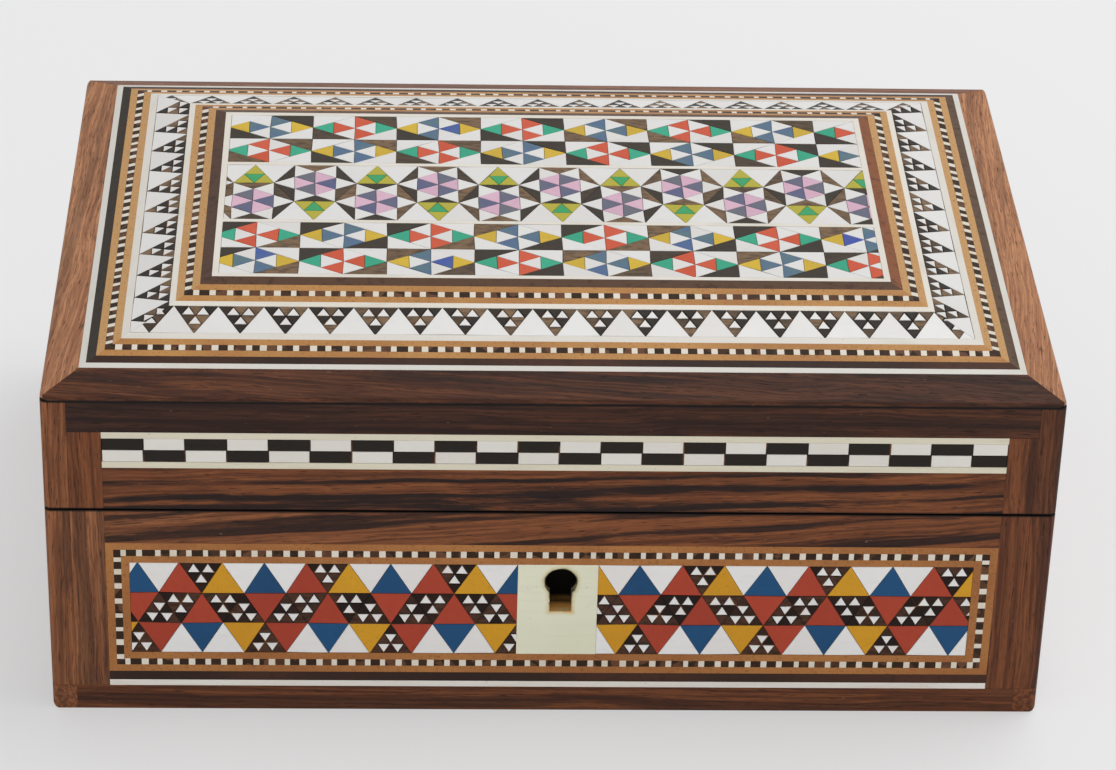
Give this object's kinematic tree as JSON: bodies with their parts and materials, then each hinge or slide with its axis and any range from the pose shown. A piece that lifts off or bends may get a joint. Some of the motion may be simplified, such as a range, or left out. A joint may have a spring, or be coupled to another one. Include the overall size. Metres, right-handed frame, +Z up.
{
  "type": "inlaid wooden box",
  "caption": "Low rectangular wooden box with a hipped hinged lid, covered in rosewood, bone lines, dotted bandings and geometric mosaic, with a keyhole and lock in the front.",
  "frame": {"origin": "centre of the underside", "axes": "+Z up, +X along the long side, front face with the keyhole towards -Y"},
  "size_m": [0.16, 0.108, 0.0661],
  "materials": {
    "blue_tesserae": "stained and lacquered",
    "bone": "satin lacquer over bone",
    "brass": "satin brass",
    "carcass_wood": "bare softwood",
    "dotted_core": "dark strip with bone dots, satin lacquer",
    "ebony": "satin lacquer",
    "green_tesserae": "stained and lacquered",
    "orange_wood": "satin lacquer",
    "pearl": "lacquered shell",
    "pink_tesserae": "stained and lacquered",
    "red_tesserae": "stained and lacquered",
    "rosewood": "satin lacquer",
    "slate_tesserae": "stained and lacquered",
    "spring_steel": "blued strip",
    "velvet": "dark red velvet",
    "yellow_tesserae": "stained and lacquered"
  },
  "bodies": {
    "base": {"base_back_board": "carcass_wood", "base_back_veneer": "rosewood", "base_banding_core": "dotted_core", "base_banding_wood": "orange_wood", "base_bone_lines": "bone", "base_bottom_board": "carcass_wood", "base_corner_strips": "rosewood", "base_ebony_lines": "ebony", "base_floor_lining": "velvet", "base_front_board": "carcass_wood", "base_left_board": "carcass_wood", "base_mosaic_blue": "blue_tesserae", "base_mosaic_ebony": "ebony", "base_mosaic_pearl": "pearl", "base_mosaic_red": "red_tesserae", "base_mosaic_yellow": "yellow_tesserae", "base_rails": "rosewood", "base_right_board": "carcass_wood", "base_stiles": "rosewood", "base_wall_lining": "velvet", "bolt_spring": "spring_steel", "escutcheon": "bone", "hinge_base_leaves": "brass", "lock_case": "brass", "lock_plate": "brass", "lock_stump": "brass"},
    "lid": {"hinge_lid_leaves": "brass", "lid_back_board": "carcass_wood", "lid_back_veneer": "rosewood", "lid_banding_core": "dotted_core", "lid_banding_wood": "orange_wood", "lid_bone_lines": "bone", "lid_checker_ebony": "ebony", "lid_checker_pearl": "pearl", "lid_corner_strips": "rosewood", "lid_ebony_lines": "ebony", "lid_front_board": "carcass_wood", "lid_left_board": "carcass_wood", "lid_mosaic_blue": "blue_tesserae", "lid_mosaic_ebony": "ebony", "lid_mosaic_green": "green_tesserae", "lid_mosaic_pearl": "pearl", "lid_mosaic_pink": "pink_tesserae", "lid_mosaic_red": "red_tesserae", "lid_mosaic_slate": "slate_tesserae", "lid_mosaic_yellow": "yellow_tesserae", "lid_moulding_back": "rosewood", "lid_moulding_front": "rosewood", "lid_moulding_left": "rosewood", "lid_moulding_right": "rosewood", "lid_rails": "rosewood", "lid_right_board": "carcass_wood", "lid_stiles": "rosewood", "lid_top_board": "carcass_wood", "lid_top_lining": "velvet", "lid_wall_lining": "velvet", "strike_hook": "brass"},
    "bolt": {"lock_bolt": "brass"}
  },
  "joints": [
    {"name": "lid_hinge", "type": "hinge", "parent": "base", "child": "lid", "pos_m": [0, 0.0516, 0.03832], "axis": [-1, 0, 0], "range_deg": [0, 100]},
    {"name": "bolt_slide", "type": "slide", "parent": "base", "child": "bolt", "axis": [1, 0, 0], "range_m": [0, 0.004]}
  ]
}
